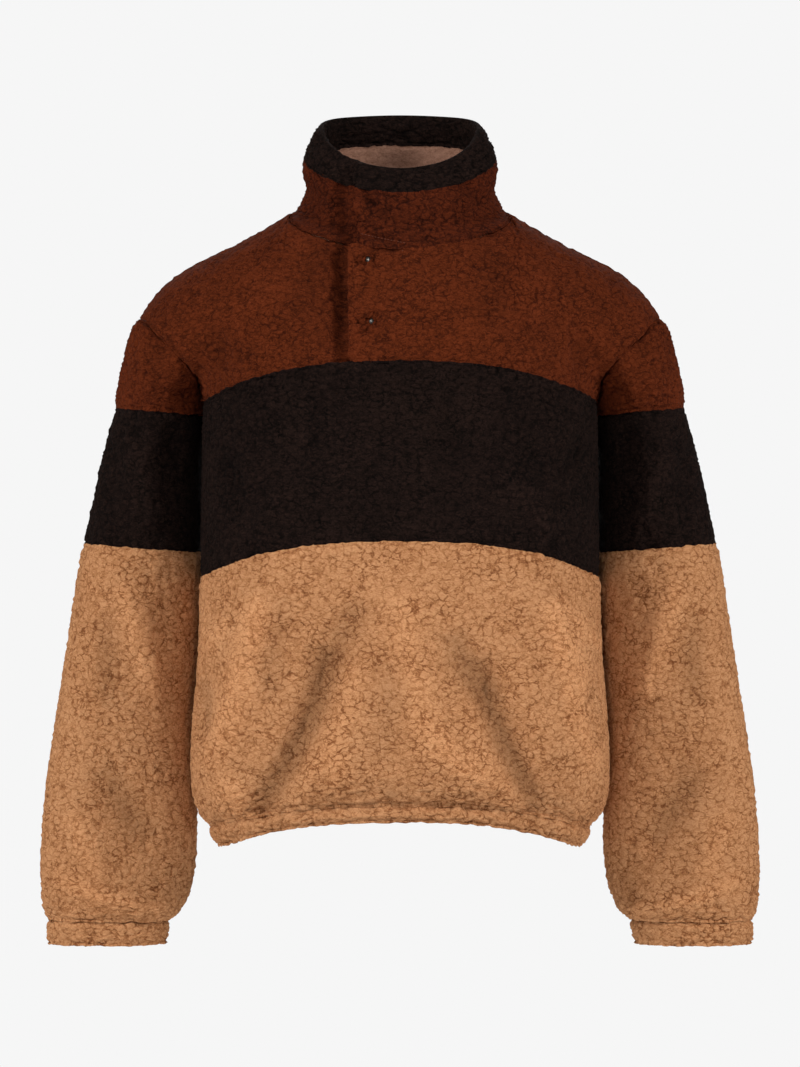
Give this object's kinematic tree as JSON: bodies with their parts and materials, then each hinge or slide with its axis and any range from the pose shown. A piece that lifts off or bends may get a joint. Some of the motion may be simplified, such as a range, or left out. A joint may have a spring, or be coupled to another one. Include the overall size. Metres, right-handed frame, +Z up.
{
  "type": "sherpa fleece pullover",
  "caption": "Stand-collar sherpa fleece pullover in three colour bands, filled out as worn, with a lapped snap placket, elastic hem and cuffs.",
  "frame": {"origin": "middle of the neck, level with the tops of the two shoulder seams, where a wearer's neck and shoulders hold the garment", "axes": "+Z up the neck, -Y out of the front of the garment, +X towards the wearer's left sleeve"},
  "size_m": [0.727, 0.2753, 0.8361],
  "materials": {
    "rust_sherpa": "dense curled pile",
    "espresso_sherpa": "dense curled pile",
    "camel_sherpa": "dense curled pile",
    "biscuit_fleece": "short brushed pile",
    "snap_steel": "brushed"
  },
  "bodies": {
    "root": {"front_chest_band": "espresso_sherpa", "back_chest_band": "espresso_sherpa", "front_lower_band": "camel_sherpa", "back_lower_band": "camel_sherpa", "hem_band": "camel_sherpa", "front_yoke_right": "rust_sherpa", "front_yoke_left": "rust_sherpa", "back_yoke": "rust_sherpa", "snap_upper": "snap_steel", "snap_lower": "snap_steel", "sleeve_left_cap": "rust_sherpa", "sleeve_right_cap": "rust_sherpa", "sleeve_left_band": "espresso_sherpa", "sleeve_right_band": "espresso_sherpa", "sleeve_left_lower": "camel_sherpa", "sleeve_right_lower": "camel_sherpa", "cuff_left": "camel_sherpa", "cuff_right": "camel_sherpa", "collar_outer": "rust_sherpa", "collar_lining": "biscuit_fleece", "collar_band": "espresso_sherpa"}
  },
  "joints": []
}
